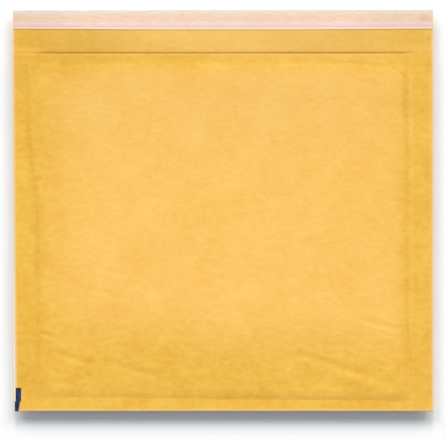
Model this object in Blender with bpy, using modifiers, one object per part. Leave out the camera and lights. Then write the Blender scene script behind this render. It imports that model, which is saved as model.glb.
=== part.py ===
"""Padded envelope in a size for one disc case: a kraft cover folded from one sheet, a folded
bubble-film lining, and a glue strip under its release liner. It lies on its back, flap towards +Y.
"""
import math

import bmesh
import bpy
from mathutils import Vector
from mathutils.geometry import delaunay_2d_cdt

# Outer sizes, in metres
WIDTH = 0.200
POCKET_DEPTH = 0.1707
FLAP_LENGTH = 0.0185
CROWN = 0.0006
FLAP_RISE = 0.0004
FLAP_DROOP = 0.0006

# Sheets and the clearance between neighbouring layers
PAPER = 0.00015
FILM = 0.00015
GLUE = 0.00015
LINER = 0.00010
LAYER_GAP = 0.0003

# Margins pressed flat round the padded area
SIDE_SEAL = 0.0105
BOTTOM_MARGIN = 0.0065
MOUTH_LIP = 0.0050
SCORE_RUN = 0.0020

# Rise of the padding from those margins: a short step, then a long pillow
PAD_SLOPE = 0.0028
PAD_STEP = 0.0003
PILLOW_RUN = 0.045

# Skewed cut of the left side, and the film that shows past it
LEFT_TRIM = 0.0014
FILM_SHOW = 0.0008
FILM_SHOW_TOP = 0.110
FILM_SHOW_FULL = 0.040
FILM_SETBACK = 0.0010

# Bubbles of the lining
BUBBLE_PITCH = 0.0125
BUBBLE_HEIGHT = 0.0020
BUBBLE_LEAN = 0.0018
SHOULDER_SHARE = 0.80
POCKET_SPACE = 0.0006

# Glue strip and release liner on the flap
GLUE_WIDTH = 0.0034
GLUE_EDGE = 0.0006
GLUE_END = 0.0020
LINER_WIDTH = 0.0091
LINER_OVERHANG = 0.0019
LINER_LIFT = 0.0003
LINER_BOW = 0.0005

# Fineness of the sheets
SLOPE_STEPS = 2
PILLOW_STEPS = 5
CROWN_STEPS = 6
FOLD_STEPS = 4
BACK_STEPS = 2
FLAP_STEPS = 3

# Heights of the stack of layers, from the middle of the pocket outwards
SEAM_HALF = LAYER_GAP / 2 + FILM + LAYER_GAP + PAPER
PAD_HALF = POCKET_SPACE / 2 + BUBBLE_HEIGHT + FILM + LAYER_GAP + PAPER
MIDDLE = PAD_HALF

# Places in the plan, with y counted from the bottom fold
LENGTH = POCKET_DEPTH + FLAP_LENGTH + LINER_OVERHANG
CORE_X = WIDTH / 2 - SIDE_SEAL - PAD_SLOPE
CORE_BOTTOM = BOTTOM_MARGIN + PAD_SLOPE
CORE_TOP = POCKET_DEPTH - MOUTH_LIP - PAD_SLOPE
CORE_HALF = (CORE_TOP - CORE_BOTTOM) / 2
QUARTER_FOLD = math.pi / 2 * SEAM_HALF


def smooth(share):
    """Smooth step from 0 to 1."""
    t = min(max(share, 0.0), 1.0)
    return t * t * (3.0 - 2.0 * t)


def ease(share):
    """Rise from 0 to 1 that starts at once and ends flat."""
    return 1.0 - (1.0 - min(max(share, 0.0), 1.0)) ** 2


def half_thickness(x, y):
    """From the middle of the pocket to the outer face: margin, step and pillow."""
    in_x = CORE_X - abs(x)
    in_bottom = y - CORE_BOTTOM
    in_top = CORE_TOP - y
    step = 1.0
    pillow = 1.0
    for inside in (in_x, in_bottom, in_top):
        step *= smooth((inside + PAD_SLOPE) / PAD_SLOPE)
        pillow *= ease(inside / PILLOW_RUN)
    return SEAM_HALF + PAD_STEP * step + (PAD_HALF - SEAM_HALF - PAD_STEP) * pillow


def front_height(x, y):
    """Outer face of the front panel, with a low crown over the whole pad."""
    across = max(0.0, 1.0 - (x / CORE_X) ** 2)
    along = max(0.0, 1.0 - ((y - CORE_BOTTOM - CORE_HALF) / CORE_HALF) ** 2)
    return MIDDLE + half_thickness(x, y) + CROWN * across * along


def back_height(x, y):
    """Outer face of the back panel, flat at z = 0 under the pad, and of the flap past its score."""
    rise = FLAP_RISE * smooth((y - POCKET_DEPTH) / SCORE_RUN)
    past_mouth = max(0.0, y - POCKET_DEPTH) / (LENGTH - POCKET_DEPTH)
    return MIDDLE - half_thickness(x, y) + rise - FLAP_DROOP * past_mouth ** 2


def trimmed(x, y):
    """Moves a point on the left side to the skewed cut."""
    if x > -WIDTH / 2 + SIDE_SEAL / 2:
        return x
    return x + LEFT_TRIM * max(0.0, 1.0 - y / POCKET_DEPTH)


def sheet_point(x, s, depth):
    """Point of the folded sheet, `depth` inside its outer face.

    s runs along the unfolded sheet from the middle of the bottom fold, up the front panel
    for s > 0 and up the back panel and the flap for s < 0.
    """
    if abs(s) < QUARTER_FOLD:
        angle = s / SEAM_HALF
        radius = SEAM_HALF - depth
        y = SEAM_HALF - radius * math.cos(angle)
        z = MIDDLE + radius * math.sin(angle)
    else:
        y = SEAM_HALF + abs(s) - QUARTER_FOLD
        z = front_height(x, y) - depth if s > 0 else back_height(x, y) + depth
    return Vector((trimmed(x, y), y - LENGTH / 2, z))


def along_sheet(y):
    """Distance along the unfolded sheet, from the fold to the height y on a panel."""
    return y - SEAM_HALF + QUARTER_FOLD


def steps(start, end, count):
    """Evenly spaced values after `start`, up to and with `end`."""
    return [start + (end - start) * i / count for i in range(1, count + 1)]


def columns():
    """x of the grid lines: side seals, slopes and crown."""
    flat = CORE_X - PILLOW_RUN
    half = [0.0] + steps(0.0, flat, CROWN_STEPS // 2) + steps(flat, CORE_X, PILLOW_STEPS)
    half += steps(CORE_X, CORE_X + PAD_SLOPE, SLOPE_STEPS) + [WIDTH / 2]
    return [-x for x in reversed(half[1:])] + half


def panel_rows(crown_steps, top):
    """y of the grid lines of one panel, from the fold up to `top`."""
    rows = [SEAM_HALF, BOTTOM_MARGIN] + steps(BOTTOM_MARGIN, CORE_BOTTOM, SLOPE_STEPS)
    rows += steps(CORE_BOTTOM, CORE_BOTTOM + PILLOW_RUN, PILLOW_STEPS)
    rows += steps(CORE_BOTTOM + PILLOW_RUN, CORE_TOP - PILLOW_RUN, crown_steps)
    rows += steps(CORE_TOP - PILLOW_RUN, CORE_TOP, PILLOW_STEPS)
    return rows + steps(CORE_TOP, CORE_TOP + PAD_SLOPE, SLOPE_STEPS) + [top]


def sheet_rows(top, flap=()):
    """s of the grid lines, from the end of the back panel or flap round to the front lip."""
    back = [-along_sheet(y) for y in panel_rows(BACK_STEPS, top) + list(flap)]
    fold = steps(-QUARTER_FOLD, QUARTER_FOLD, FOLD_STEPS)[:-1]
    return back[::-1] + fold + [along_sheet(y) for y in panel_rows(CROWN_STEPS, top)]


def material(name, colour, roughness):
    """Principled material of one colour."""
    made = bpy.data.materials.new(name)
    made.use_nodes = True
    shader = made.node_tree.nodes["Principled BSDF"]
    shader.inputs["Base Color"].default_value = (*colour, 1.0)
    shader.inputs["Roughness"].default_value = roughness
    shader.inputs["Metallic"].default_value = 0.0
    made.diffuse_color = (*colour, 1.0)
    return made


def add_object(name, bm, finish, parts):
    """Makes a named object of a mesh and puts it in the envelope's collection."""
    mesh = bpy.data.meshes.new(name)
    bm.to_mesh(mesh)
    bm.free()
    mesh.materials.append(finish)
    made = bpy.data.objects.new(name, mesh)
    parts.objects.link(made)
    return made


def add_sheet(name, xs, rows, place, thickness, finish, parts):
    """Grid laid over columns and rows by a formula, thickened away from its outer face."""
    bm = bmesh.new()
    grid = bmesh.ops.create_grid(bm, x_segments=len(xs) - 1, y_segments=len(rows) - 1, size=1.0)
    for index, vert in enumerate(grid["verts"]):
        row, column = divmod(index, len(xs))
        vert.co = place(xs[column], rows[row])
    bmesh.ops.triangulate(bm, faces=bm.faces[:], quad_method="FIXED")
    made = add_object(name, bm, finish, parts)
    made.data.shade_smooth()
    solid = made.modifiers.new("Thickness", "SOLIDIFY")
    solid.thickness = thickness
    solid.offset = -1.0
    return made


def kraft_cover(finish, parts):
    """One sheet: front panel, bottom fold, back panel and flap."""
    score_end = POCKET_DEPTH + SCORE_RUN
    flap = steps(POCKET_DEPTH, score_end, SLOPE_STEPS)
    flap += steps(score_end, POCKET_DEPTH + FLAP_LENGTH, FLAP_STEPS)
    rows = sheet_rows(POCKET_DEPTH, flap)
    return add_sheet("kraft_cover", columns(), rows,
                     lambda x, s: sheet_point(x, s, 0.0), PAPER, finish, parts)


def bubble_centres():
    """Centres (x, y) of the bubbles of one panel, in staggered rows that fit the padded area."""
    row_pitch = BUBBLE_PITCH * math.sqrt(3.0) / 2
    row_count = int((2 * CORE_HALF - BUBBLE_PITCH) // row_pitch) + 1
    count = int(2 * CORE_X // BUBBLE_PITCH)
    first = CORE_BOTTOM + CORE_HALF - row_pitch * (row_count - 1) / 2
    for row in range(row_count):
        in_row = count - row % 2
        for i in range(in_row):
            yield BUBBLE_PITCH * (i - (in_row - 1) / 2), first + row_pitch * row


class SheetPlan:
    """Points and edges of the unfolded lining, each point with its height above the film."""

    def __init__(self):
        self.index = {}
        self.points = []
        self.heights = []
        self.edges = []

    def point(self, x, s, height=0.0):
        """Index of a point, made once for each place."""
        key = (round(x * 1e6), round(s * 1e6))
        if key not in self.index:
            self.index[key] = len(self.points)
            self.points.append(Vector((x, s)))
            self.heights.append(height)
        return self.index[key]

    def cell(self, x0, x1, s0, s1):
        """One cell of the grid, with its diagonal."""
        corners = [self.point(x, s) for x, s in ((x0, s0), (x1, s0), (x1, s1), (x0, s1))]
        self.edges += [(corners[i], corners[(i + 1) % 4]) for i in range(4)]
        self.edges.append((corners[0], corners[2]))

    def ring(self, x, s, radius, height):
        """Hexagon round a bubble's centre."""
        turns = [math.pi / 3 * i for i in range(6)]
        ids = [self.point(x + radius * math.cos(a), s + radius * math.sin(a), height) for a in turns]
        self.edges += [(ids[i], ids[(i + 1) % 6]) for i in range(6)]

    def bubble(self, x, s, height):
        """Dome on a hexagon, which meets its neighbours at its corners."""
        self.ring(x, s, BUBBLE_PITCH / 2, 0.0)
        self.ring(x, s, BUBBLE_PITCH / 2 - BUBBLE_LEAN, height * SHOULDER_SHARE)
        self.point(x, s, height)

    def triangles(self):
        """Triangles of the plan, as indices of its points."""
        scaled = [p * 1000.0 for p in self.points]
        verts, _, faces, origins, _, _ = delaunay_2d_cdt(scaled, self.edges, [], 0, 1e-5)
        return [[origins[i][0] for i in face] for face in faces]


def lining_plan(with_bubbles):
    """Plan of one face of the lining. The flat face has the grid all over."""
    plan = SheetPlan()
    xs = columns()
    rows = sheet_rows(POCKET_DEPTH - FILM_SETBACK)
    tiny = PAD_SLOPE / 1000
    near, far = along_sheet(CORE_BOTTOM) - tiny, along_sheet(CORE_TOP) + tiny
    for x0, x1 in zip(xs, xs[1:]):
        for s0, s1 in zip(rows, rows[1:]):
            centre = abs(s0 + s1) / 2
            padded = max(abs(x0), abs(x1)) < CORE_X + tiny and near < centre < far
            if not (with_bubbles and padded):
                plan.cell(x0, x1, s0, s1)
    if with_bubbles:
        for x, y in bubble_centres():
            height = half_thickness(x, y) - (PAD_HALF - BUBBLE_HEIGHT)
            plan.bubble(x, along_sheet(y), height)
            plan.bubble(x, -along_sheet(y), height)
    return plan


def film_point(x, s, depth):
    """Point of the lining, whose left side shows a little past the cover lower down."""
    place = sheet_point(x, s, depth)
    if x < -WIDTH / 2 + SIDE_SEAL / 2:
        y = place.y + LENGTH / 2
        place.x -= FILM_SHOW * smooth((FILM_SHOW_TOP - y) / (FILM_SHOW_TOP - FILM_SHOW_FULL))
    return place


def bubble_lining(finish, parts):
    """One folded web of bubble film, flat side to the paper and bubbles into the pocket."""
    bm = bmesh.new()
    flat_depth = PAPER + LAYER_GAP
    for with_bubbles, depth in ((False, flat_depth), (True, flat_depth + FILM)):
        plan = lining_plan(with_bubbles)
        verts = [bm.verts.new(film_point(p.x, p.y, depth + height))
                 for p, height in zip(plan.points, plan.heights)]
        for triangle in plan.triangles():
            corners = [verts[i] for i in triangle]
            bm.faces.new(corners[::-1] if with_bubbles else corners)
    rim = [edge for edge in bm.edges if edge.is_boundary]
    bmesh.ops.bridge_loops(bm, edges=rim)
    bmesh.ops.triangulate(bm, faces=bm.faces[:], quad_method="FIXED")
    bmesh.ops.recalc_face_normals(bm, faces=bm.faces[:])
    return add_object("bubble_lining", bm, finish, parts)


def flap_top(x, y):
    """Upper face of the flap."""
    return back_height(x, y) + PAPER


def adhesive_strip(finish, parts):
    """Band of hot-melt glue near the free edge of the flap."""
    far = POCKET_DEPTH + FLAP_LENGTH - GLUE_EDGE
    end = WIDTH / 2 - GLUE_END

    def place(x, y):
        return Vector((x, y - LENGTH / 2, flap_top(x, y) + LAYER_GAP + GLUE))

    return add_sheet("adhesive_strip", [-end, 0.0, end], [far - GLUE_WIDTH, far],
                     place, GLUE, finish, parts)


def release_liner(finish, parts):
    """Strip of release paper over the glue, past the flap's edge and lifted on its inner side."""
    near = LENGTH - LINER_WIDTH
    glued = POCKET_DEPTH + FLAP_LENGTH - GLUE_EDGE - GLUE_WIDTH
    end = WIDTH / 2

    def place(x, y):
        lift = LINER_LIFT * max(0.0, (glued - y) / (glued - near)) ** 2
        bow = LINER_BOW * (1.0 - (x / end) ** 2) * max(0.0, (glued - y) / (glued - near))
        z = flap_top(x, y) + 2 * LAYER_GAP + GLUE + LINER + lift
        return Vector((x, y - bow - LENGTH / 2, z))

    rows = [near] + steps(near, glued, FLAP_STEPS) + steps(glued, LENGTH, FLAP_STEPS)
    xs = [-end] + steps(-end, end, CROWN_STEPS)
    return add_sheet("release_liner", xs, rows, place, LINER, finish, parts)


def main():
    """Builds the padded envelope."""
    for old in list(bpy.data.objects):
        bpy.data.objects.remove(old, do_unlink=True)
    parts = bpy.data.collections.new("padded_envelope")
    bpy.context.scene.collection.children.link(parts)
    kraft_cover(material("gold_kraft", (0.89, 0.53, 0.12), 0.75), parts)
    bubble_lining(material("bubble_film", (0.86, 0.83, 0.76), 0.25), parts)
    adhesive_strip(material("hot_melt_glue", (0.85, 0.80, 0.66), 0.35), parts)
    release_liner(material("release_paper", (0.88, 0.68, 0.54), 0.45), parts)


main()
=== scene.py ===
"""Looks of the padded envelope: creased kraft paper, bubble film, glue strip and release liner."""
import math

import bpy
import numpy as np
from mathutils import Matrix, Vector


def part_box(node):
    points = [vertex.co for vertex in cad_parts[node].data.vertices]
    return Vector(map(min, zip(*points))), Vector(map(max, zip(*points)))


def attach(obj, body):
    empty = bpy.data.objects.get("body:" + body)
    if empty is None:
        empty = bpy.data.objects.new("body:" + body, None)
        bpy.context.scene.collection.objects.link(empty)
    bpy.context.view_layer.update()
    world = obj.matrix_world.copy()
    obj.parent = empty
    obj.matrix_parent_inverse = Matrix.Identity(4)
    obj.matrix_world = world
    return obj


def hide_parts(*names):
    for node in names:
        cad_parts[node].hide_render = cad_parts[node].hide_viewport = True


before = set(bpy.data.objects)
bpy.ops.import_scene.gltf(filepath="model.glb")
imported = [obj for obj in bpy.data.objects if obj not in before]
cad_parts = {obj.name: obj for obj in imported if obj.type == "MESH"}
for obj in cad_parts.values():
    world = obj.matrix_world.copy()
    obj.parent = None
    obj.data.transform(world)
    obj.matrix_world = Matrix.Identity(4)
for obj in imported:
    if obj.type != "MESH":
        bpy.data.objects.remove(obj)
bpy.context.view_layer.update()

MM = 0.001

# Sizes and places from the frame, with y towards the flap
cover_low, cover_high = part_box("kraft_cover")
film_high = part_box("bubble_lining")[1]
glue_low, glue_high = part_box("adhesive_strip")
liner_low, liner_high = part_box("release_liner")
LEFT, RIGHT = cover_low[0], cover_high[0]
BOTTOM, FLAP_END = cover_low[1], cover_high[1]
LINER_NEAR, LINER_FAR = liner_low[1], liner_high[1]
GLUE_NEAR, GLUE_FAR = glue_low[1], glue_high[1]
TOP = cover_high[2]

# Heights of the pad
CROWN = 0.6 * MM
MIDDLE = (TOP - CROWN) / 2
PAD_HALF = MIDDLE
PAD_STEP = 0.22 * MM

# Sheets. The seams are pressed together, so they are thinner than the solids' open stack
PAPER = 0.15 * MM
FILM = 0.12 * MM
SEAM_GAP = 0.02 * MM
PAD_GAP = 0.22 * MM
SEAM_HALF = 0.34 * MM
PILLOW_RISE = PAD_HALF - SEAM_HALF - PAD_STEP

# Margins in the plan
SIDE_SEAL = 10.5 * MM
BOTTOM_MARGIN = 6.5 * MM
MOUTH_LIP = 5.0 * MM
FILM_SETBACK = 1.0 * MM
PAD_SLOPE = 2.8 * MM
STEP_RUNS = (3.5 * MM, 3.5 * MM, 3.6 * MM, 12.0 * MM)
BOTTOM_SKEW = 0.011
PILLOW_RUN = 45.0 * MM
EASE_POWER = 1.6
MOUTH = film_high[1] + FILM_SETBACK
CORE_LEFT = LEFT + SIDE_SEAL + PAD_SLOPE
CORE_RIGHT = RIGHT - SIDE_SEAL - PAD_SLOPE
CORE_BOTTOM = BOTTOM + BOTTOM_MARGIN + PAD_SLOPE
CORE_TOP = MOUTH - MOUTH_LIP - PAD_SLOPE
CREASED_TOP = CORE_BOTTOM + 40.0 * MM

# Flap: it springs up at its score and droops a little towards its free edge
FLAP_RISE = 0.18 * MM
SCORE_RUN = 0.9 * MM
FLAP_DROOP = 0.6 * MM
LIP_SETBACK = 0.45 * MM

# Skewed left cut, with the film that shows past it, and the kinked corner at the fold
LEFT_TRIM = 1.4 * MM
FILM_SHOW = 0.8 * MM
FILM_SHOW_TOP = BOTTOM + 110.0 * MM
FILM_SHOW_FULL = BOTTOM + 40.0 * MM
KINK_Y = BOTTOM + 5.2 * MM
KINK_SHIFT = 0.42 * MM
KINK_TURN = 0.95 * MM
KINK_REACH = 7.0 * MM

# Bubbles
BUBBLE_PITCH = 12.5 * MM
BUBBLE_RADIUS = 5.3 * MM
BUBBLE_HEIGHT = 2.0 * MM
BUBBLE_SIDES = 14

# Blue print mark on the left cut, in distances along the unfolded sheet
MARK_WIDTH = 2.85 * MM
MARK_TOP = 11.4 * MM
MARK_WRAP = 4.0 * MM

# Soft creases of the front panel: from (x, y) to (x, y), half width and depth, all in mm
CREASES = (
    (-89.0, -58.6, -79.0, -61.4, 1.1, 0.085),
    (-82.0, -66.4, -57.5, -74.4, 1.7, 0.085),
    (-59.0, -71.0, -28.5, -78.4, 1.8, 0.060),
    (-77.0, -75.3, -70.0, -77.0, 1.0, -0.040),
    (-86.0, -80.5, -70.0, -82.0, 1.9, 0.030),
    (14.0, -50.4, 23.5, -52.4, 1.0, 0.030),
    (33.0, -67.0, 69.0, -78.2, 1.7, 0.053),
    (44.0, -67.3, 55.5, -68.4, 0.9, 0.022),
    (50.0, -76.6, 85.0, -88.8, 2.6, -0.058),
    (65.0, -85.2, 73.5, -87.9, 0.8, 0.035),
    (64.0, -50.6, 86.0, -58.0, 1.4, 0.062),
    (69.0, -63.3, 76.0, -64.2, 1.0, 0.030),
    (72.5, -72.2, 80.5, -74.3, 1.0, 0.055),
    (76.5, -27.4, 87.5, -25.6, 0.9, 0.028),
    (16.5, -13.4, 26.5, -14.1, 1.0, 0.024),
    (66.0, 20.2, 75.5, 10.6, 0.9, 0.030),
    (22.0, 36.3, 33.0, 36.4, 1.1, 0.030),
    (37.0, 51.6, 45.5, 52.1, 1.0, 0.034),
    (64.5, 60.9, 69.5, 59.4, 1.0, 0.040),
    (-45.5, 49.5, -35.5, 53.0, 1.0, 0.028),
    (-80.0, 54.6, -65.0, 53.8, 1.6, 0.026),
    (-76.5, 3.6, -66.5, 3.5, 1.0, 0.030),
    (-57.0, -15.6, -53.0, -17.8, 1.1, 0.045),
    (-64.0, -27.2, -46.0, -30.6, 1.1, 0.022),
    (-91.5, 15.2, -86.5, 14.6, 1.3, 0.050),
    (-6.2, -48.3, 15.2, -54.5, 1.0, 0.022),
    (-74.2, -34.0, -37.1, -43.5, 1.2, 0.024),
)

# Pressed lines round the pad and at its corners, in the same form
PRESSED = (
    (-90.0, -88.2, 5.0, -89.2, 0.65, 0.012),
    (-5.0, -89.2, 90.2, -90.2, 0.65, 0.014),
    (87.7, -50.0, 88.8, -66.0, 0.7, 0.010),
    (88.9, -64.0, 90.2, -89.6, 0.7, 0.011),
    (86.2, 70.0, 86.5, 40.0, 1.6, 0.0075),
    (-94.0, 72.0, -92.6, 38.0, 1.0, 0.006),
    (-93.0, 44.0, -89.4, 6.0, 1.1, 0.008),
    (-88.6, 18.0, -87.8, -80.0, 1.3, 0.005),
    (52.0, 70.8, 81.0, 68.8, 0.9, 0.010),
    (79.0, 69.4, 87.5, 63.2, 1.0, 0.011),
    (-30.0, 73.4, -22.5, 69.6, 1.0, 0.010),
    (95.4, 69.6, 99.8, 69.6, 0.5, 0.006),
)

# Depths of the cockles and of the bubbles' print on the two panels, and of the flap's waves
WIDE_COCKLE, NARROW_COCKLE, FINE_COCKLE = 0.045 * MM, 0.018 * MM, 0.007 * MM
FRONT_PRINT = 0.014 * MM
BACK_COCKLE, BACK_PRINT, BACK_FINE = 0.10 * MM, 0.05 * MM, 0.012 * MM
FLAP_WAVE, FLAP_RIPPLE = 0.10 * MM, 0.03 * MM

# Glue: thickness, wavy edge and the gap under it
GLUE_THICKNESS = 0.13 * MM
GLUE_WAVE = 0.25 * MM
GLUE_GAP = 0.02 * MM

# Release liner. Its near edge is free of the glue: it bows in at both ends and sinks to the flap
LINER_THICKNESS = 0.06 * MM
LINER_RAISED = 0.17 * MM
LINER_BOW, LINER_BOW_ENDS = 0.12, 0.45
LINER_LIFT, LINER_SINK = 0.02 * MM, 0.145 * MM
LINER_RIDGE, LINER_RIDGE_AT, LINER_RIDGE_WIDTH = 0.015 * MM, 1.2 * MM, 0.4 * MM
LINER_SKEW = 0.28 * MM

# Painted shade in creases and pressed lines: depths at which they would be fully dark, and how dark a
# pressed line may get
CREASE_SHADE_DEPTH = 0.7 * MM
PRESSED_SHADE_DEPTH = 0.045 * MM
PRESSED_SHADE_MOST = 0.5

# Painted shade: a dark line along the pad's left and right sides
LEFT_LINE_TOP = LEFT + 6.4 * MM
LEFT_LINE_LEAN = 5.4 * MM
LEFT_LINE_DARK, LEFT_LINE_WIDTH = 0.17, 2.2 * MM
RIGHT_LINE = 87.0 * MM
RIGHT_LINE_DARK, RIGHT_LINE_WIDTH = 0.13, 1.5 * MM

# Painted shade along the flap's score at the mouth, which runs out at both ends
SCORE_AT = MOUTH - 0.2 * MM
SCORE_WIDTH = 0.3 * MM
SCORE_DARK = 0.8
SCORE_ENDS = (94.0 * MM, 66.0 * MM)

# Darker ends of the flap, and ends of the flap that are less dulled: strength, and where along x it
# starts and is full
FLAP_DARK = ((0.22, -38.0 * MM, -68.0 * MM), (0.14, 15.0 * MM, 35.0 * MM), (-0.06, 60.0 * MM, 85.0 * MM))
FLAP_LESS_DULL = ((0.16, -66.0 * MM, -92.0 * MM), (0.06, 66.0 * MM, 92.0 * MM))

# Darker spots of the front panel: centre (x, y), reach (x, y) and strength
SPOTS = (
    (LEFT + 4.0 * MM, BOTTOM + 14.0 * MM, 6.0 * MM, 18.0 * MM, 0.14),
    (RIGHT - 5.0 * MM, BOTTOM + 8.0 * MM, 8.0 * MM, 10.0 * MM, 0.13),
    (LEFT + 3.0 * MM, MOUTH - 1.6 * MM, 4.0 * MM, 1.6 * MM, 0.12),
    (RIGHT - 6.0 * MM, MOUTH - 2.4 * MM, 10.0 * MM, 2.8 * MM, 0.19),
)

# Paler middle of the front, partly rubbed and partly a painted sheen: where it starts inside the pad's
# left, right, lower and upper sides, and over what distance it fades in. It fades in slowly only from
# the lower side, which is skewed, and it is cut off across the upper left corner
PALE_STARTS = (-0.8 * MM, -1.0 * MM, 9.0 * MM, -4.5 * MM)
PALE_RUNS = (42.0 * MM, 18.0 * MM, 36.0 * MM, 18.0 * MM)
PALE_SKEW = 0.06
PALE_CUT_X, PALE_CUT_Y = -85.0 * MM, 57.0 * MM
PALE_CUT_SLOPE = 0.46
PALE_CUT_RUN = 14.0 * MM
PALE_CUT_DEPTH = 0.85

# Painted light and shade: the paper's colour changes by up to this share against the lamps' shading
# of the pad's slopes, paler where the pad falls towards the fold and darker where it faces the lamps
SLOPE_LIGHT_EVENING = 0.16
SLOPE_LIGHT_PER_SLOPE = 0.76

# Duller colour of the flap, and painted shade over the front panel's upper part, which faces the lamps
FLAP_DULLING = 0.27
TOP_PAINTED_SHADE = 0.11
TOP_SHADE_FADE = 22.0 * MM

# Bands of the release liner, in distances from its near edge: where each change starts and is full
LIP_SHADE = (0.2 * MM, 0.8 * MM)
LIP_END = (1.1 * MM, 0.85 * MM)
LINE_NEAR, LINE_FAR = (1.1 * MM, 1.4 * MM), (2.0 * MM, 1.6 * MM)
PINK_END = (3.4 * MM, 4.2 * MM)
PEACH_END = (6.7 * MM, 9.2 * MM)

NOISE_TABLE = 64

# Colours of the lamps and of the room's light, which make white together
WARM_LAMP = (1.04, 1.0, 0.97)
COOL_ROOM = (0.90, 1.0, 1.08, 1.0)
ROOM_STRENGTH = 0.33

# Lamps: name, bearing from +Y, height and spread in degrees, and what each adds to a white floor
LAMPS = (
    ("key", 0.0, 21.2, 17.5, 0.26),
    ("key_left", -33.0, 21.2, 27.0, 0.21),
    ("key_right", 33.0, 21.2, 27.0, 0.21),
)

FLOOR_HALF = 3.0
FLOOR_GAP = 0.05 * MM


def smooth(share):
    """Smooth step from 0 to 1."""
    t = np.clip(share, 0.0, 1.0)
    return t * t * (3.0 - 2.0 * t)


def fade_in(value, start, end):
    """Smooth share that is 0 at `start` and 1 at `end`, which may be the lower number."""
    return smooth((value - start) / (end - start))


def bump_at(distance, width):
    """Bell-shaped share round a line."""
    return np.exp(-(distance / width) ** 2)


def ease(share):
    """Rise from 0 to 1 that starts at once and ends flat."""
    return 1.0 - (1.0 - np.clip(share, 0.0, 1.0)) ** EASE_POWER


def noise(x, y, cell, seed):
    """Smooth random height between -1 and 1, with about one hill or hollow to a cell."""
    table = np.random.default_rng(seed).uniform(-1.0, 1.0, (NOISE_TABLE, NOISE_TABLE))
    gx, gy = x / cell, y / cell
    ix, iy = np.floor(gx).astype(int), np.floor(gy).astype(int)
    fx, fy = smooth(gx - ix), smooth(gy - iy)

    def corner(i, j):
        return table[i % NOISE_TABLE, j % NOISE_TABLE]

    low = corner(ix, iy) * (1 - fx) + corner(ix + 1, iy) * fx
    high = corner(ix, iy + 1) * (1 - fx) + corner(ix + 1, iy + 1) * fx
    return low * (1 - fy) + high * fy


def crease(x, y, line):
    """Height of one soft crease: a valley with low ridges beside it, or a ridge if depth < 0."""
    x0, y0, x1, y1, width, depth = (value * MM for value in line)
    dx, dy = x1 - x0, y1 - y0
    length = math.hypot(dx, dy)
    along = ((x - x0) * dx + (y - y0) * dy) / length ** 2
    across = ((x - x0) * dy - (y - y0) * dx) / length / width
    fade_run = min(0.3, 5.0 * MM / length)
    fade = smooth(along / fade_run) * smooth((1.0 - along) / fade_run)
    return -depth * fade * (1.0 - across ** 2) * np.exp(-across ** 2 / 2)


def inside_core(x, y):
    """Distances inside the padded area from its left, right, lower and upper sides."""
    return x - CORE_LEFT, CORE_RIGHT - x, y - CORE_BOTTOM + BOTTOM_SKEW * x, CORE_TOP - y


def shares(x, y):
    """How far the pad's step and its pillow have risen at a point, each from 0 to 1."""
    step, pillow = 1.0, 1.0
    for inside, run in zip(inside_core(x, y), STEP_RUNS):
        step = step * ease((inside + PAD_SLOPE) / run)
        pillow = pillow * ease(inside / PILLOW_RUN)
    return step, pillow


def half_thickness(x, y):
    """From the middle of the pocket to the outer face."""
    step, pillow = shares(x, y)
    return SEAM_HALF + PAD_STEP * step + PILLOW_RISE * pillow


def crown(x, y):
    """Extra height of the front panel in its middle."""
    across = np.clip(1.0 - (2.0 * x / (CORE_RIGHT - CORE_LEFT)) ** 2, 0.0, 1.0)
    middle, half = (CORE_TOP + CORE_BOTTOM) / 2, (CORE_TOP - CORE_BOTTOM) / 2
    return CROWN * across * np.clip(1.0 - ((y - middle) / half) ** 2, 0.0, 1.0)


def bubble_bed(x, y):
    """Faint print of the bubbles through the paper, between -1 and 1."""
    turn = 4.0 * math.pi / math.sqrt(3.0) / BUBBLE_PITCH
    waves = [np.cos(turn * (x * math.cos(a) + y * math.sin(a)))
             for a in (math.pi / 2, math.pi / 6, -math.pi / 6)]
    return sum(waves) / 3.0


def folds(x, y, made):
    """Height of creases or pressed lines of the front panel, which wander a little."""
    wander = 0.5 * MM if made is PRESSED else 0.8 * MM
    wx = x + wander * noise(x, y, 12 * MM, 11)
    wy = y + wander * noise(x, y, 12 * MM, 12)
    return sum(crease(wx, wy, line) for line in made)


def front_relief(x, y):
    """Creases, cockles and the print of the bubbles on the front panel."""
    step, pillow = shares(x, y)
    cockles = WIDE_COCKLE * noise(x, y, 30 * MM, 21) + NARROW_COCKLE * noise(x, y, 11 * MM, 22)
    fine = FINE_COCKLE * noise(x, y, 4.5 * MM, 23)
    bed = 0.5 + 0.5 * noise(x, y, 35 * MM, 24)
    height = folds(x, y, CREASES) + folds(x, y, PRESSED)
    return height + step * cockles + fine + pillow * bed * FRONT_PRINT * bubble_bed(x, y)


def back_relief(x, y):
    """Cockles of the back panel, all on its inner side so that it lies flat."""
    pillow = shares(x, y)[1]
    wave = 0.5 + 0.5 * noise(x, y, 26 * MM, 31)
    bed = 0.5 - 0.5 * bubble_bed(x, y)
    return pillow * (BACK_COCKLE * wave + BACK_PRINT * bed) + BACK_FINE * (1 + noise(x, y, 5 * MM, 32))


def front_height(x, y):
    """Outer face of the front panel."""
    lip = 0.02 * MM * smooth((y - MOUTH + 3 * MM) / (3 * MM)) * (1.0 + noise(x, y, 9 * MM, 41))
    between = smooth((RIGHT - SIDE_SEAL * 0.6 - np.abs(x)) / (6 * MM))
    return MIDDLE + half_thickness(x, y) + crown(x, y) + front_relief(x, y) + lip * between


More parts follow.
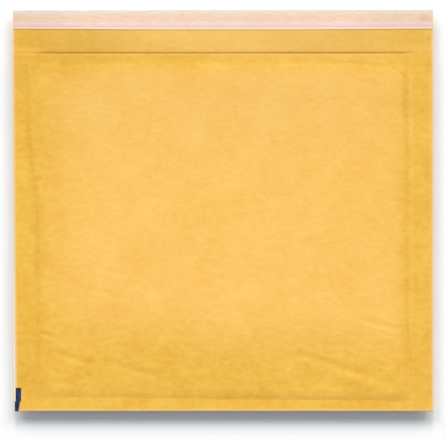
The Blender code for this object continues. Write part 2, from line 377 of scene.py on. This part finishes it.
def back_height(x, y):
    """Outer, lower face of the back panel and of the flap."""
    past = np.clip((y - MOUTH) / (LINER_FAR - MOUTH), 0.0, 1.0)
    between = smooth((RIGHT - SIDE_SEAL * 0.8 - np.abs(x)) / (6 * MM))
    spring = FLAP_RISE * smooth((y - MOUTH + LIP_SETBACK) / SCORE_RUN) * between
    waves = FLAP_WAVE * noise(x, y, 24 * MM, 51) + FLAP_RIPPLE * noise(x, y, 8 * MM, 52)
    lifted = spring + smooth(past * 3.0) * waves - FLAP_DROOP * past ** 2
    return MIDDLE - half_thickness(x, y) + back_relief(x, y) + lifted


def flap_top(x, y):
    """Upper face of the flap."""
    return back_height(x, y) + PAPER


def trimmed(x, y):
    """Skewed cut of the left side, and the kinked corner beside the fold."""
    near_left = 1.0 - smooth((x - LEFT) / SIDE_SEAL)
    skew = LEFT_TRIM * np.clip((MOUTH - y) / (MOUTH - BOTTOM), 0.0, 1.0)
    inward = np.clip((x - LEFT) / MARK_WIDTH, 0.0, 1.0)
    below = np.clip((KINK_Y - y) / (KINK_Y - BOTTOM), 0.0, 1.0)
    reach = 1.0 - smooth((x - LEFT - MARK_WIDTH) / KINK_REACH)
    kink = (KINK_SHIFT * smooth((KINK_Y - y) / (0.9 * MM)) + KINK_TURN * inward * below) * reach
    return x + near_left * skew - kink


def from_fold(y):
    """Distance along the unfolded sheet from the middle of the bottom fold."""
    return y - BOTTOM - SEAM_HALF + math.pi / 2 * SEAM_HALF


def sheet_point(x, s, depth):
    """Points of the folded sheet, `depth` inside its outer face. s > 0 is the front panel."""
    quarter = math.pi / 2 * SEAM_HALF
    angle = np.clip(s, -quarter, quarter) / SEAM_HALF
    radius = SEAM_HALF - depth
    on_panel = np.abs(s) >= quarter
    y = np.where(on_panel, BOTTOM + SEAM_HALF + np.abs(s) - quarter,
                 BOTTOM + SEAM_HALF - radius * np.cos(angle))
    panel_z = np.where(s > 0, front_height(x, y) - depth, back_height(x, y) + depth)
    z = np.where(on_panel, panel_z, MIDDLE + radius * np.sin(angle))
    return np.stack([trimmed(x, y), y, z], axis=-1)


def lines(stops, cells):
    """Grid lines through the stops, with about one line to each cell size."""
    found = [stops[0]]
    for start, end, cell in zip(stops, stops[1:], cells):
        count = max(1, round(abs(end - start) / cell))
        found += [start + (end - start) * i / count for i in range(1, count + 1)]
    return found


def sheet_lines(core_cell, front_top, back_top, flap=()):
    """Columns x and rows s of the folded sheet, fine on its margins and in its creased lower part."""
    edge, slope = 1.0 * MM, 0.6 * MM
    across = [LEFT, LEFT + SIDE_SEAL, CORE_LEFT + 2 * MM, CORE_RIGHT - 2 * MM, RIGHT - SIDE_SEAL, RIGHT]
    xs = lines(across, [edge, slope, core_cell, slope, edge])

    def panel(cell, top):
        stops = [BOTTOM + SEAM_HALF, BOTTOM + BOTTOM_MARGIN, CORE_BOTTOM + 2 * MM, CREASED_TOP,
                 CORE_TOP - 2 * MM, MOUTH - MOUTH_LIP, top]
        return lines(stops, [0.7 * MM, slope, 0.42 * cell, 0.68 * cell, slope, slope])

    back = panel(3 * core_cell, back_top) + list(flap)
    quarter = math.pi / 2 * SEAM_HALF
    fold = lines([-quarter, quarter], [quarter / 3])[1:-1]
    front = panel(core_cell, front_top)
    rows = [-from_fold(y) for y in reversed(back)] + fold + [from_fold(y) for y in front]
    return np.array(xs), np.array(rows)


def thick_grid(outer, inner):
    """Closed sheet between two grids of points: vertices, faces, and how many faces are not rim."""
    rows, columns = outer.shape[:2]
    count = rows * columns
    verts = np.concatenate([outer.reshape(-1, 3), inner.reshape(-1, 3)])
    index = np.arange(count).reshape(rows, columns)
    a, b, c, d = index[:-1, :-1], index[:-1, 1:], index[1:, 1:], index[1:, :-1]
    top = np.stack([a, b, c, d], axis=-1).reshape(-1, 4)
    under = top[:, ::-1] + count
    ring = np.concatenate([index[0, :-1], index[:-1, -1], index[-1, :0:-1], index[:0:-1, 0]])
    after = np.roll(ring, -1)
    rim = np.stack([ring, ring + count, after + count, after], axis=-1)
    return verts, np.concatenate([top, under, rim]), len(top) + len(under)


def make_piece(name, verts, faces, finish, replaced, sharp=55.0):
    """Mesh object that rides on the envelope and stands for a node of the frame."""
    mesh = bpy.data.meshes.new(name)
    mesh.from_pydata([tuple(v) for v in verts], [], [tuple(f) for f in faces])
    mesh.materials.append(finish)
    mesh.shade_smooth()
    mesh.set_sharp_from_angle(angle=math.radians(sharp))
    piece = bpy.data.objects.new(name, mesh)
    bpy.context.scene.collection.objects.link(piece)
    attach(piece, "root")
    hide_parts(replaced)
    return piece


def write_uv(mesh, coordinates):
    """UV map named sheet: each vertex's place on its unfolded sheet, in metres."""
    layer = mesh.uv_layers.new(name="sheet")
    corner_verts = np.empty(len(mesh.loops), dtype=np.int32)
    mesh.loops.foreach_get("vertex_index", corner_verts)
    layer.data.foreach_set("uv", coordinates[corner_verts].astype(np.float32).ravel())


def write_share(mesh, name, values):
    """Value from 0 to 1 for each vertex, which a material reads by its name."""
    layer = mesh.attributes.new(name, "FLOAT", "POINT")
    layer.data.foreach_set("value", np.clip(values, 0.0, 1.0).astype(np.float32).ravel())


def srgb(red, green, blue):
    """Linear colour of an 8-bit screen colour."""
    def linear(value):
        v = value / 255.0
        return v / 12.92 if v <= 0.04045 else ((v + 0.055) / 1.055) ** 2.4
    return linear(red), linear(green), linear(blue), 1.0


class Nodes:
    """Short way to write a material's nodes."""

    def __init__(self, name):
        self.material = bpy.data.materials.new(name)
        self.material.use_nodes = True
        self.tree = self.material.node_tree
        self.shader = self.tree.nodes["Principled BSDF"]
        self.place = self.add("ShaderNodeTexCoord").outputs["Object"]

    def add(self, kind, **settings):
        node = self.tree.nodes.new(kind)
        for key, value in settings.items():
            setattr(node, key, value)
        return node

    def feed(self, socket, value):
        """Links a socket, or sets a plain value."""
        if isinstance(value, bpy.types.NodeSocket):
            self.tree.links.new(value, socket)
        else:
            socket.default_value = value

    def math(self, operation, first, second=0.0):
        node = self.add("ShaderNodeMath", operation=operation)
        self.feed(node.inputs[0], first)
        self.feed(node.inputs[1], second)
        return node.outputs[0]

    def ramp(self, value, low, high, start=0.0, end=1.0):
        """Maps low..high to start..end, held at the ends."""
        node = self.add("ShaderNodeMapRange", clamp=True)
        self.feed(node.inputs["Value"], value)
        for socket, number in zip(("From Min", "From Max", "To Min", "To Max"), (low, high, start, end)):
            node.inputs[socket].default_value = number
        return node.outputs["Result"]

    def noise(self, cell, detail=3.0, roughness=0.55, stretch=(1.0, 1.0, 1.0)):
        """Noise with features of about `cell` metres, stretched along the axes."""
        mapping = self.add("ShaderNodeMapping")
        self.feed(mapping.inputs["Vector"], self.place)
        mapping.inputs["Scale"].default_value = tuple(1.0 / s for s in stretch)
        node = self.add("ShaderNodeTexNoise")
        self.feed(node.inputs["Vector"], mapping.outputs["Vector"])
        node.inputs["Scale"].default_value = 1.0 / cell
        node.inputs["Detail"].default_value = detail
        node.inputs["Roughness"].default_value = roughness
        return node.outputs["Fac"]

    def mix(self, share, first, second):
        """Colour between two colours."""
        node = self.add("ShaderNodeMix", data_type="RGBA")
        self.feed(node.inputs[0], share)
        self.feed(node.inputs[6], first)
        self.feed(node.inputs[7], second)
        return node.outputs[2]

    def scaled(self, colour, factor):
        """Colour made lighter or darker."""
        node = self.add("ShaderNodeVectorMath", operation="SCALE")
        self.feed(node.inputs[0], colour)
        self.feed(node.inputs["Scale"], factor)
        return node.outputs[0]

    def share(self, name):
        """Value that the mesh holds for each vertex."""
        return self.add("ShaderNodeAttribute", attribute_name=name).outputs["Fac"]

    def sheet(self):
        """Place on the unfolded sheet, as two values in metres."""
        split = self.add("ShaderNodeSeparateXYZ")
        self.feed(split.inputs[0], self.add("ShaderNodeUVMap", uv_map="sheet").outputs[0])
        return split.outputs[0], split.outputs[1]

    def bump(self, height, distance, strength=1.0):
        node = self.add("ShaderNodeBump")
        self.feed(node.inputs["Height"], height)
        node.inputs["Distance"].default_value = distance
        node.inputs["Strength"].default_value = strength
        self.feed(self.shader.inputs["Normal"], node.outputs["Normal"])

    def finish(self, colour, roughness, specular=0.4):
        """Fills the shader. A roughness that varies is a link."""
        self.feed(self.shader.inputs["Base Color"], colour)
        self.feed(self.shader.inputs["Roughness"], roughness)
        self.shader.inputs["Specular IOR Level"].default_value = specular
        return self.material


def kraft_material():
    """Gold kraft paper: mottled fibre, paler where rubbed and painted with sheen, with a blue print
    mark, and painted light and shade in its colour.
    """
    n = Nodes("gold_kraft_paper")
    cloud = n.ramp(n.noise(14 * MM, 3.0), 0.32, 0.68)
    mottle = n.ramp(n.noise(2.6 * MM, 4.0, 0.6, (1.3, 1.0, 1.0)), 0.30, 0.70)
    fibre = n.ramp(n.noise(0.7 * MM, 3.0, 0.6, (2.0, 1.0, 1.0)), 0.25, 0.75)
    tone = n.math("ADD", n.math("MULTIPLY", cloud, 0.34), n.math("MULTIPLY", mottle, 0.40))
    tone = n.math("ADD", tone, n.math("MULTIPLY", fibre, 0.26))
    fresh = n.mix(tone, srgb(229, 173, 55), srgb(253, 202, 94))
    worn_and_sheen = n.mix(tone, srgb(249, 189, 86), srgb(255, 207, 116))
    # Paler middle: partly rubbed, partly painted sheen
    colour = n.mix(n.share("rub_and_sheen"), fresh, worn_and_sheen)
    # Duller flap, and painted shade over the front panel's upper part
    colour = n.mix(n.share("dull_and_shade"), colour, srgb(219, 183, 112))
    # Painted shade in creases, pressed lines, the score and the pad's sides, with darker spots and flap
    # ends
    colour = n.mix(n.math("MULTIPLY", n.share("valley"), 0.8), colour, srgb(190, 134, 14))
    # Painted highlights along the bottom fold and at the flap's score ends, and paler cut edges
    colour = n.mix(n.math("MULTIPLY", n.share("edge"), 0.8), colour, srgb(248, 220, 164))
    # Painted light and shade that evens out the lamps' shading of the pad's slopes, and painted
    # highlights at the flap's score ends
    colour = n.scaled(colour, n.ramp(n.share("drift"), 0.0, 1.0, 1.0 - SLOPE_LIGHT_EVENING, 1.0 + SLOPE_LIGHT_EVENING))
    across, along = n.sheet()
    wobble = n.math("MULTIPLY", n.math("SUBTRACT", fibre, 0.5), 0.12 * MM)
    inside = n.math("LESS_THAN", n.math("ADD", across, wobble), MARK_WIDTH)
    below = n.math("LESS_THAN", n.math("ADD", along, wobble), MARK_TOP)
    above = n.math("GREATER_THAN", along, -MARK_WRAP)
    mark = n.math("MULTIPLY", n.math("MULTIPLY", inside, below), above)
    ink = n.mix(mottle, srgb(30, 35, 57), srgb(53, 68, 102))
    colour = n.mix(mark, colour, ink)
    height = n.math("ADD", n.math("MULTIPLY", fibre, 0.5), mottle)
    n.bump(height, 0.05 * MM, 0.6)
    return n.finish(colour, n.ramp(mottle, 0.0, 1.0, 0.64, 0.76), 0.08)


def kraft_edge_material():
    """Cut edge of the kraft paper, paler than its face."""
    n = Nodes("kraft_cut_edge")
    grain = n.ramp(n.noise(0.5 * MM, 2.0, 0.5, (4.0, 4.0, 1.0)), 0.3, 0.7)
    return n.finish(n.mix(grain, srgb(222, 180, 104), srgb(242, 206, 140)), 0.8, 0.2)


def film_material():
    """Milky bubble film."""
    n = Nodes("milky_bubble_film")
    haze = n.ramp(n.noise(3.0 * MM, 3.0), 0.3, 0.7)
    n.bump(haze, 0.05 * MM, 0.4)
    colour = n.mix(haze, srgb(240, 222, 196), srgb(250, 238, 218))
    return n.finish(colour, n.ramp(haze, 0.0, 1.0, 0.32, 0.44), 0.25)


def glue_material():
    """Amber-white hot-melt glue."""
    n = Nodes("hot_melt_glue")
    swirl = n.ramp(n.noise(1.5 * MM, 3.0, 0.6, (4.0, 1.0, 1.0)), 0.3, 0.7)
    n.bump(swirl, 0.08 * MM, 0.6)
    colour = n.mix(swirl, srgb(214, 196, 150), srgb(232, 218, 182))
    return n.finish(colour, n.ramp(swirl, 0.0, 1.0, 0.3, 0.42), 0.5)


def liner_material():
    """Release paper: pink near edge, peach where the glue and flap are behind it, pale past the flap."""
    n = Nodes("siliconised_release_paper")
    along = n.sheet()[1]
    streak = n.ramp(n.noise(0.9 * MM, 4.0, 0.65, (5.0, 1.0, 1.0)), 0.3, 0.7)
    cloud = n.ramp(n.noise(6.0 * MM, 3.0, 0.55, (2.5, 1.0, 1.0)), 0.3, 0.7)
    drift = n.math("MULTIPLY", n.math("SUBTRACT", cloud, 0.5), 0.6 * MM)
    y = n.math("ADD", along, drift)
    pink = n.mix(streak, srgb(242, 210, 198), srgb(251, 222, 214))
    peach = n.mix(streak, srgb(231, 198, 169), srgb(243, 215, 191))
    pale = n.mix(streak, srgb(234, 217, 201), srgb(244, 233, 223))
    colour = n.mix(n.ramp(y, *PINK_END), pink, peach)
    colour = n.mix(n.ramp(y, *PEACH_END), colour, pale)
    # Painted shade along a shallow crease near the liner's near edge
    line = n.math("SUBTRACT", along, n.math("MULTIPLY", cloud, 0.35 * MM))
    crease = n.math("MULTIPLY", n.ramp(line, *LINE_NEAR), n.ramp(line, *LINE_FAR))
    colour = n.mix(n.math("MULTIPLY", crease, 0.35), colour, srgb(232, 199, 196))
    # Painted highlight along the liner's lifted near edge
    lip = n.mix(n.ramp(along, *LIP_SHADE), srgb(252, 212, 172), srgb(253, 218, 202))
    colour = n.mix(n.ramp(along, *LIP_END), colour, lip)
    colour = n.scaled(colour, n.ramp(n.share("shaded_end"), 0.0, 1.0, 1.0, 0.94))
    end = n.math("MULTIPLY", n.share("glue_end"), n.ramp(streak, 0.0, 1.0, 0.5, 1.0))
    colour = n.mix(end, colour, srgb(228, 178, 146))
    n.bump(streak, 0.03 * MM, 0.5)
    return n.finish(colour, n.ramp(streak, 0.0, 1.0, 0.52, 0.64), 0.10)


def dark_share(x, y, front):
    """How dark the paper is made: painted shade in its creases, pressed lines, score and along the pad's
    sides, with darker spots near its corners and darker flap ends.
    """
    # Painted shade along the pad's left and right sides
    left_line = LEFT_LINE_TOP + LEFT_LINE_LEAN * fade_in(y, 60 * MM, -15 * MM)
    painted_side_shade = LEFT_LINE_DARK * bump_at(x - left_line, LEFT_LINE_WIDTH)
    painted_side_shade = painted_side_shade + RIGHT_LINE_DARK * bump_at(x - RIGHT_LINE, RIGHT_LINE_WIDTH)
    painted_side_shade = painted_side_shade * (0.6 + 0.4 * noise(x, y, 9 * MM, 62))
    painted_side_shade = painted_side_shade * fade_in(y, CORE_TOP + 4 * MM, CORE_TOP - 2 * MM)
    painted_side_shade = painted_side_shade * fade_in(y, CORE_BOTTOM - 3 * MM, CORE_BOTTOM + 2 * MM)
    # Painted shade in the creases and pressed lines, darker where they are deeper
    creased = np.clip(-folds(x, y, CREASES) / CREASE_SHADE_DEPTH, 0.0, 1.0)
    pressed = np.clip(-folds(x, y, PRESSED) / PRESSED_SHADE_DEPTH, 0.0, PRESSED_SHADE_MOST)
    corners = 0.18 * fade_in(x, -38 * MM, -70 * MM) * bump_at(y - MOUTH + 6 * MM, 8 * MM)
    for spot_x, spot_y, reach_x, reach_y, strength in SPOTS:
        corners = corners + strength * bump_at(x - spot_x, reach_x) * bump_at(y - spot_y, reach_y)

    # Painted shade along the score, and a wider, fainter painted shade above it
    score = SCORE_DARK * bump_at(y - SCORE_AT, SCORE_WIDTH) * fade_in(np.abs(x + 0.8 * MM), *SCORE_ENDS)
    score = score + 0.10 * bump_at(y - MOUTH - 0.6 * MM, 1.0 * MM)
    flap_ends = sum(strength * fade_in(x, start, full) for strength, start, full in FLAP_DARK)
    return np.where(front, creased + pressed + painted_side_shade + corners, score + flap_ends)


def rubbed_and_sheen_share(x, y, front):
    """How much the paper is made paler: partly rubbed and partly painted sheen, with painted highlights
    at the pad's right side and the front panel's lip.
    """
    left, right, low, high = ((inside - start) / run
                              for inside, start, run in zip(inside_core(x, y), PALE_STARTS, PALE_RUNS))
    worn_and_sheen = smooth(low + PALE_SKEW * x / PALE_RUNS[2])
    for share in (left, right, high):
        worn_and_sheen = worn_and_sheen * (1.0 - (1.0 - np.clip(share, 0.0, 1.0)) ** 3)
    past_cut = (y - PALE_CUT_Y) - PALE_CUT_SLOPE * (x - PALE_CUT_X)
    worn_and_sheen = worn_and_sheen * (1.0 - PALE_CUT_DEPTH * smooth(0.62 + past_cut / PALE_CUT_RUN))
    worn_and_sheen = worn_and_sheen * (0.92 + 0.12 * noise(x, y, 40 * MM, 61))
    # Painted highlights along the pad's right side and along the front panel's lip, and a wider paler
    # band below the mouth on the right half
    ridge = 0.35 * bump_at(x - CORE_RIGHT - PAD_SLOPE, 0.9 * MM)
    lip = 0.6 * bump_at(y - MOUTH + LIP_SETBACK + 0.45 * MM, 0.5 * MM)
    lip = lip + 0.3 * bump_at(y - MOUTH + 2 * MM, 2.4 * MM) * fade_in(x, -5 * MM, 15 * MM)
    flap = 0.75 * fade_in(np.abs(x - 12 * MM), 80 * MM, 20 * MM)
    return np.where(front, worn_and_sheen + ridge + lip, flap)


def dulled_and_shaded_share(x, y, front):
    """How much the flap's colour is dulled, and painted shade over the front panel's upper part."""
    band = fade_in(y, CORE_TOP - 62 * MM, CORE_TOP - 12 * MM)
    band = band * fade_in(y, CORE_TOP + 2 * MM, CORE_TOP - 6 * MM)
    band = TOP_PAINTED_SHADE * band * fade_in(x, LEFT, LEFT + TOP_SHADE_FADE) * fade_in(x, RIGHT, RIGHT - TOP_SHADE_FADE)
    flap = FLAP_DULLING - sum(strength * fade_in(x, start, full) for strength, start, full in FLAP_LESS_DULL)
    return np.where(front, band, flap)


def panel_shares(x, y, s):
    """The kraft material's shares at each point: valley (painted shade), rub_and_sheen, edge (with
    painted highlights), dull_and_shade and drift (painted light and shade).
    """
    front = s > 0
    # Painted highlights where the flap's score bulges at its left and right ends
    past_mouth = y - MOUTH - 2.0 * MM
    left_score_highlight = bump_at(past_mouth + 0.06 * (x - LEFT), 1.0 * MM) * fade_in(x, -82 * MM, -90 * MM)
    right_score_highlight = bump_at(past_mouth, 1.9 * MM) * fade_in(x, 78 * MM, 88 * MM)
    # Painted highlight along the rounded bottom fold, and paler cut edges at the left and right
    edge = bump_at(s - 0.55 * MM, 0.5 * MM)
    edge = edge + bump_at(RIGHT - x, 0.7 * MM) + 0.9 * bump_at(x - LEFT, 0.5 * MM)
    edge = edge + np.where(front, 0.0, 0.08 * left_score_highlight + 0.08 * right_score_highlight)

    # Painted light and shade: lighter where the pad's slope turns from the lamps and darker where it
    # faces them; on the flap, a painted highlight where the score bulges at its ends
    before, after = (PILLOW_RISE * shares(x, y + step)[1] + crown(x, y + step) for step in (-MM, MM))
    slope = (after - before) / (2 * MM)
    flap_painted_highlight = 0.42 * left_score_highlight + 0.2 * right_score_highlight
    drift = 0.5 + np.where(front, SLOPE_LIGHT_PER_SLOPE / SLOPE_LIGHT_EVENING * slope, flap_painted_highlight)
    return {"valley": dark_share(x, y, front), "rub_and_sheen": rubbed_and_sheen_share(x, y, front), "edge": edge,
            "dull_and_shade": dulled_and_shaded_share(x, y, front), "drift": drift}


def make_cover():
    """The folded kraft sheet with its flap."""
    lip = MOUTH - LIP_SETBACK
    flap = lines([lip, MOUTH + 2.5 * MM, FLAP_END], [0.3 * MM, 1.2 * MM])[1:]
    xs, rows = sheet_lines(1.7 * MM, lip, lip, flap)
    x, s = np.meshgrid(xs, rows)
    outer, inner = sheet_point(x, s, 0.0), sheet_point(x, s, PAPER)
    verts, faces, body_faces = thick_grid(outer, inner)
    piece = make_piece("kraft_sheet", verts, faces, kraft_material(), "kraft_cover")
    mesh = piece.data
    mesh.materials.append(kraft_edge_material())
    slots = np.zeros(len(faces), dtype=np.int32)
    slots[body_faces:] = 1
    mesh.polygons.foreach_set("material_index", slots)
    sheet = np.stack([x - LEFT, s], axis=-1).reshape(-1, 2)
    write_uv(mesh, np.concatenate([sheet, sheet]))
    for name, values in panel_shares(x, outer[..., 1], s).items():
        write_share(mesh, name, np.concatenate([values.ravel(), values.ravel()]))


def bubble_centres():
    """Centres (x, y) of one panel's bubbles, in staggered rows."""
    row_pitch = BUBBLE_PITCH * math.sqrt(3.0) / 2
    row_count = int((CORE_TOP - CORE_BOTTOM - BUBBLE_PITCH) // row_pitch) + 1
    count = int((CORE_RIGHT - CORE_LEFT) // BUBBLE_PITCH)
    first = (CORE_TOP + CORE_BOTTOM) / 2 - row_pitch * (row_count - 1) / 2
    for row in range(row_count):
        in_row = count - row % 2
        for i in range(in_row):
            yield BUBBLE_PITCH * (i - (in_row - 1) / 2), first + row_pitch * row


def film_depth(x, y):
    """Depth of the film's flat face under the paper's outer face."""
    return PAPER + SEAM_GAP + (PAD_GAP - SEAM_GAP) * smooth(shares(x, y)[0])


def bubble_dome(x, y, side):
    """One round bubble on the film's inner face: side is 1 on the front panel and -1 on the back."""
    turns = np.arange(BUBBLE_SIDES) * 2 * math.pi / BUBBLE_SIDES
    room = half_thickness(x, y) - film_depth(x, y) - FILM - 0.2 * MM
    height = min(BUBBLE_HEIGHT, room)
    verts = []
    for radius_share, height_share in ((0.97, -0.01), (1.0, 0.18), (0.94, 0.62), (0.72, 0.90)):
        px = x + BUBBLE_RADIUS * radius_share * np.cos(turns)
        py = y + BUBBLE_RADIUS * radius_share * np.sin(turns)
        base = sheet_point(px, side * from_fold(py), film_depth(px, py) + FILM)
        base[:, 2] -= side * height * height_share
        verts.append(base)
    centre = sheet_point(np.array([x]), np.array([side * from_fold(y)]), film_depth(x, y) + FILM)
    tip = centre.copy()
    tip[:, 2] -= side * height
    verts = np.concatenate(verts + [tip, centre])
    rings = len(verts) // BUBBLE_SIDES
    faces = []
    for ring in range(rings - 1):
        for i in range(BUBBLE_SIDES):
            j = (i + 1) % BUBBLE_SIDES
            low, high = ring * BUBBLE_SIDES, (ring + 1) * BUBBLE_SIDES
            faces.append((low + i, high + i, high + j, low + j))
    last = (rings - 1) * BUBBLE_SIDES
    for i in range(BUBBLE_SIDES):
        j = (i + 1) % BUBBLE_SIDES
        faces.append((last + i, len(verts) - 2, last + j))
        faces.append((i, j, len(verts) - 1))
    return verts, [f[::-1] for f in faces] if side < 0 else faces


def make_lining():
    """The folded bubble film: a thin web with round bubbles on its inner side."""
    top = MOUTH - FILM_SETBACK
    xs, rows = sheet_lines(2.6 * MM, top, top)
    x, s = np.meshgrid(xs, rows)
    y = sheet_point(x, s, 0.0)[..., 1]
    depth = film_depth(x, y)
    outer, inner = sheet_point(x, s, depth), sheet_point(x, s, depth + FILM)
    show = FILM_SHOW * smooth((FILM_SHOW_TOP - y) / (FILM_SHOW_TOP - FILM_SHOW_FULL))
    show = show * smooth((y - KINK_Y + 0.6 * MM) / MM) * np.clip(1.0 - (x - LEFT) / SIDE_SEAL, 0.0, 1.0)
    for grid in (outer, inner):
        grid[..., 0] -= show
    verts, faces, _ = thick_grid(outer, inner)
    verts, faces = [verts], [tuple(f) for f in faces]
    count = len(verts[0])
    for cx, cy in bubble_centres():
        for side in (1, -1):
            dome, dome_faces = bubble_dome(cx, cy, side)
            verts.append(dome)
            faces += [tuple(i + count for i in f) for f in dome_faces]
            count += len(dome)
    piece = make_piece("bubble_film", np.concatenate(verts), faces, film_material(), "bubble_lining")


def flap_sheet(name, xs, ys, under, thickness, finish, replaced):
    """Thin sheet on the flap: `under` gives its lower face."""
    x, y = np.meshgrid(np.array(xs), np.array(ys))
    low = under(x, y)
    high = low.copy()
    high[..., 2] += thickness
    verts, faces, _ = thick_grid(high, low)
    piece = make_piece(name, verts, faces, finish, replaced)
    sheet = np.stack([x, y - ys[0]], axis=-1).reshape(-1, 2)
    write_uv(piece.data, np.concatenate([sheet, sheet]))
    return piece


def make_glue():
    """Band of glue on the flap, with a wavy edge."""
    def under(x, y):
        side = 2 * (y - GLUE_NEAR) / (GLUE_FAR - GLUE_NEAR) - 1
        wave = GLUE_WAVE * noise(x, y, 5 * MM, 71) * side
        return np.stack([x, y + wave, flap_top(x, y) + GLUE_GAP], axis=-1)

    xs = lines([glue_low[0], glue_high[0]], [2 * MM])
    ys = lines([GLUE_NEAR, GLUE_FAR], [0.6 * MM])
    flap_sheet("glue_band", xs, ys, under, GLUE_THICKNESS, glue_material(), "adhesive_strip")


def make_liner():
    """Release liner, sunk to the flap along its near edge and bowed a little."""
    def under(x, y):
        free = np.clip((GLUE_NEAR - y) / (GLUE_NEAR - LINER_NEAR), 0.0, 1.0)
        bow = (LINER_BOW + LINER_BOW_ENDS * (2 * x / (RIGHT - LEFT)) ** 2) * MM * free
        lift = LINER_LIFT * free ** 2 * (1.0 + noise(x, y, 30 * MM, 81)) - LINER_SINK * smooth(free)
        ridge = LINER_RIDGE * bump_at(y - LINER_NEAR - LINER_RIDGE_AT, LINER_RIDGE_WIDTH)
        past_flap = np.clip((y - FLAP_END) / (LINER_FAR - MOUTH), 0.0, 1.0)
        rest = flap_top(x, np.minimum(y, FLAP_END)) - FLAP_DROOP * 0.5 * past_flap
        skew = LINER_SKEW * x / RIGHT * (1.0 - free)
        far = np.minimum(y + bow + skew, LINER_FAR)
        return np.stack([x, far, rest + LINER_RAISED + lift - ridge], axis=-1)

    xs = lines([LEFT, RIGHT], [1.6 * MM])
    ys = lines([LINER_NEAR, LINER_NEAR + 2 * MM, LINER_FAR], [0.25 * MM, 0.7 * MM])
    piece = flap_sheet("release_strip", xs, ys, under, LINER_THICKNESS, liner_material(),
                       "release_liner")
    place = np.empty(len(piece.data.vertices) * 3, dtype=np.float32)
    piece.data.vertices.foreach_get("co", place)
    x, y = place[0::3], place[1::3]
    band = bump_at(y - (GLUE_NEAR + GLUE_FAR) / 2, 1.5 * MM)
    right_end = bump_at(x - RIGHT + 4 * MM, 2.6 * MM)
    left_end = 0.45 * bump_at(x - LEFT - 2 * MM, 2.2 * MM)
    shaded = fade_in(x, -60 * MM, -85 * MM) + 0.8 * fade_in(x, 55 * MM, 80 * MM)
    write_share(piece.data, "glue_end", band * (right_end + left_end))
    write_share(piece.data, "shaded_end", shaded)


def make_stage():
    """White floor that keeps the envelope's shadow."""
    n = Nodes("white_floor")
    n.finish((1.0, 1.0, 1.0, 1.0), 0.9, 0.0)
    mesh = bpy.data.meshes.new("floor")
    corners = [(FLOOR_HALF * x, FLOOR_HALF * y, 0) for x, y in ((-1, -1), (1, -1), (1, 1), (-1, 1))]
    mesh.from_pydata(corners, [], [(0, 1, 2, 3)])
    mesh.materials.append(n.material)
    floor = bpy.data.objects.new("floor", mesh)
    floor.location.z = -FLOOR_GAP
    bpy.context.scene.collection.objects.link(floor)


def make_lamp(name, bearing, height, spread, level):
    """Wide soft lamp far away."""
    data = bpy.data.lights.new(name, "SUN")
    data.angle = math.radians(spread)
    data.energy = level * math.pi / math.sin(math.radians(height))
    data.color = WARM_LAMP
    lamp = bpy.data.objects.new(name, data)
    turn, lift = math.radians(bearing), math.radians(height)
    aim = Vector((-math.sin(turn) * math.cos(lift), -math.cos(turn) * math.cos(lift), -math.sin(lift)))
    lamp.rotation_euler = aim.to_track_quat("-Z", "Y").to_euler()
    bpy.context.scene.collection.objects.link(lamp)


def make_light():
    """Soft lamps on the flap's side, and an even white surround."""
    for lamp in LAMPS:
        make_lamp(*lamp)
    world = bpy.data.worlds.new("surround")
    bpy.context.scene.world = world
    world.use_nodes = True
    tree = world.node_tree
    tree.nodes.clear()
    paths = tree.nodes.new("ShaderNodeLightPath")
    seen = paths.outputs["Is Camera Ray"]
    for ray in ("Is Glossy Ray", "Is Transmission Ray"):
        either = tree.nodes.new("ShaderNodeMath")
        either.operation = "MAXIMUM"
        tree.links.new(seen, either.inputs[0])
        tree.links.new(paths.outputs[ray], either.inputs[1])
        seen = either.outputs[0]
    room, white = tree.nodes.new("ShaderNodeBackground"), tree.nodes.new("ShaderNodeBackground")
    room.inputs["Color"].default_value = COOL_ROOM
    room.inputs["Strength"].default_value = ROOM_STRENGTH
    white.inputs["Strength"].default_value = 1.0
    both = tree.nodes.new("ShaderNodeMixShader")
    tree.links.new(seen, both.inputs[0])
    tree.links.new(room.outputs[0], both.inputs[1])
    tree.links.new(white.outputs[0], both.inputs[2])
    output = tree.nodes.new("ShaderNodeOutputWorld")
    tree.links.new(both.outputs[0], output.inputs[0])


def make_camera():
    """Camera straight above, framed as the photograph: 445 by 441 pixels."""
    wide, high = 445, 441
    left_px, right_px = 12.9, 433.2
    top_px, bottom_px = 9.4, 411.7
    pixel = (RIGHT - LEFT) / (right_px - left_px)
    distance = 1.6
    data = bpy.data.cameras.new("camera")
    data.sensor_fit = "HORIZONTAL"
    data.sensor_width = 36.0
    data.lens = data.sensor_width * (distance - MIDDLE) / (wide * pixel)
    camera = bpy.data.objects.new("camera", data)
    centre_x = (LEFT + RIGHT) / 2 + ((wide - left_px - right_px) / 2) * pixel
    centre_y = (BOTTOM + LINER_FAR) / 2 - ((high - top_px - bottom_px) / 2) * pixel
    camera.location = (centre_x, centre_y, distance)
    bpy.context.scene.collection.objects.link(camera)
    bpy.context.scene.camera = camera


make_camera()
make_cover()
make_lining()
make_glue()
make_liner()
make_stage()
make_light()
bpy.context.scene.view_settings.view_transform = "Standard"
